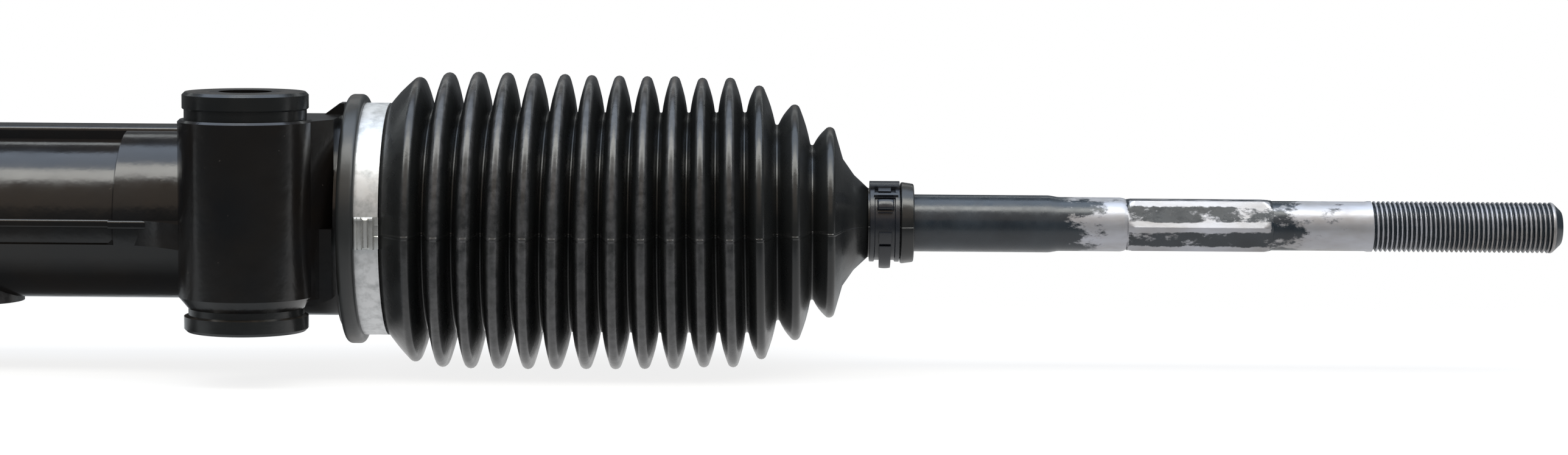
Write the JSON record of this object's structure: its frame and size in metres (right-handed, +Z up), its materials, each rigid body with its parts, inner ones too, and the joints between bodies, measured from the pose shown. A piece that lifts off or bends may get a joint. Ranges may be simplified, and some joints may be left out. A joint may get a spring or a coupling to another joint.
{
  "type": "steering rack",
  "caption": "Rack-and-pinion steering gear: bushed cast housing, leaning helical pinion, bellows boots and threaded tie rods on ball joints.",
  "frame": {"origin": "midway between the two mounting bolts, at the height of the rack's axis, which runs 37 mm behind them", "axes": "+X along the rack, away from the pinion; +Y from the mounting bolts towards the rack; +Z up along the mounting bolts"},
  "size_m": [1.239, 0.118, 0.1558],
  "materials": {
    "housing_paint": "satin",
    "mount_rubber": "satin",
    "sleeve_steel": "satin",
    "rack_steel": "satin",
    "pinion_steel": "satin",
    "bearing_steel": "polished",
    "cage_steel": "satin",
    "bush_bronze": "satin",
    "bush_polymer": "matte",
    "ring_rubber": "satin",
    "stop_polymer": "matte",
    "spring_steel": "satin",
    "seal_rubber": "satin",
    "cap_rubber": "satin",
    "plug_steel": "satin",
    "yoke_aluminium": "satin",
    "liner_polymer": "matte",
    "joint_steel": "satin",
    "seat_polymer": "gloss",
    "rod_steel": "satin",
    "boot_rubber": "satin",
    "clamp_zinc": "satin",
    "clamp_black": "satin"
  },
  "bodies": {
    "housing": {"housing": "housing_paint", "pinion_lower_bush": "bush_bronze", "pinion_bearing_outer_ring": "bearing_steel", "pinion_circlip": "spring_steel", "pinion_seal": "seal_rubber", "pinion_end_plug": "plug_steel", "yoke": "yoke_aluminium", "yoke_liner": "liner_polymer", "yoke_o_ring": "ring_rubber", "yoke_spring": "spring_steel", "yoke_adjuster": "plug_steel", "yoke_locknut": "plug_steel", "rack_bush": "bush_polymer", "rack_bush_o_rings": "ring_rubber", "left_mount_rubber": "mount_rubber", "left_mount_sleeve": "sleeve_steel", "left_end_stop": "stop_polymer", "left_boot": "boot_rubber", "left_large_clamp": "clamp_zinc", "left_clamp_buckle": "clamp_zinc", "right_mount_rubber": "mount_rubber", "right_mount_sleeve": "sleeve_steel", "right_end_stop": "stop_polymer", "right_boot": "boot_rubber", "right_large_clamp": "clamp_zinc", "right_clamp_buckle": "clamp_zinc"},
    "rack": {"rack_bar": "rack_steel", "left_lock_washer": "plug_steel", "right_lock_washer": "plug_steel", "left_ball_socket": "joint_steel", "right_ball_socket": "joint_steel"},
    "pinion": {"pinion_shaft": "pinion_steel", "pinion_bearing_inner_ring": "bearing_steel", "pinion_dust_cap": "cap_rubber"},
    "bearing_cage": {"pinion_bearing_balls": "bearing_steel", "pinion_bearing_cage": "cage_steel"},
    "left_seat": {"left_ball_seat": "seat_polymer"},
    "left_rod": {"left_tie_rod": "rod_steel", "left_small_clamp": "clamp_black"},
    "right_seat": {"right_ball_seat": "seat_polymer"},
    "right_rod": {"right_tie_rod": "rod_steel", "right_small_clamp": "clamp_black"}
  },
  "joints": [
    {"name": "rack_slide", "type": "slide", "parent": "housing", "child": "rack", "axis": [1, 0, 0], "range_m": [-0.0705, 0.0705], "deforming": ["left_boot", "right_boot"]},
    {"name": "pinion_turn", "type": "hinge", "parent": "housing", "child": "pinion", "pos_m": [-0.13, 0.02173, 0.00712], "axis": [0, 0.4226, 0.9063], "range_deg": [-540.5, 540.5]},
    {"name": "bearing_cage_turn", "type": "hinge", "parent": "housing", "child": "bearing_cage", "pos_m": [-0.13, 0.02173, 0.00712], "axis": [0, 0.4226, 0.9063], "range_deg": [-210, 210]},
    {"name": "left_rod_swing", "type": "hinge", "parent": "rack", "child": "left_seat", "pos_m": [-0.345, 0.037, 0], "axis": [0, 0, 1], "range_deg": [-14, 14], "deforming": ["left_boot"]},
    {"name": "left_rod_bump", "type": "hinge", "parent": "left_seat", "child": "left_rod", "pos_m": [-0.345, 0.037, 0], "axis": [0, 1, 0], "range_deg": [-20, 20], "deforming": ["left_boot"]},
    {"name": "right_rod_swing", "type": "hinge", "parent": "rack", "child": "right_seat", "pos_m": [0.345, 0.037, 0], "axis": [0, 0, 1], "range_deg": [-14, 14], "deforming": ["right_boot"]},
    {"name": "right_rod_bump", "type": "hinge", "parent": "right_seat", "child": "right_rod", "pos_m": [0.345, 0.037, 0], "axis": [0, 1, 0], "range_deg": [-20, 20], "deforming": ["right_boot"]}
  ],
  "couplings": [
    {"joint": "pinion_turn", "follows": "rack_slide", "rad_per_m": -133.68},
    {"joint": "bearing_cage_turn", "follows": "rack_slide", "rad_per_m": -51.832}
  ]
}
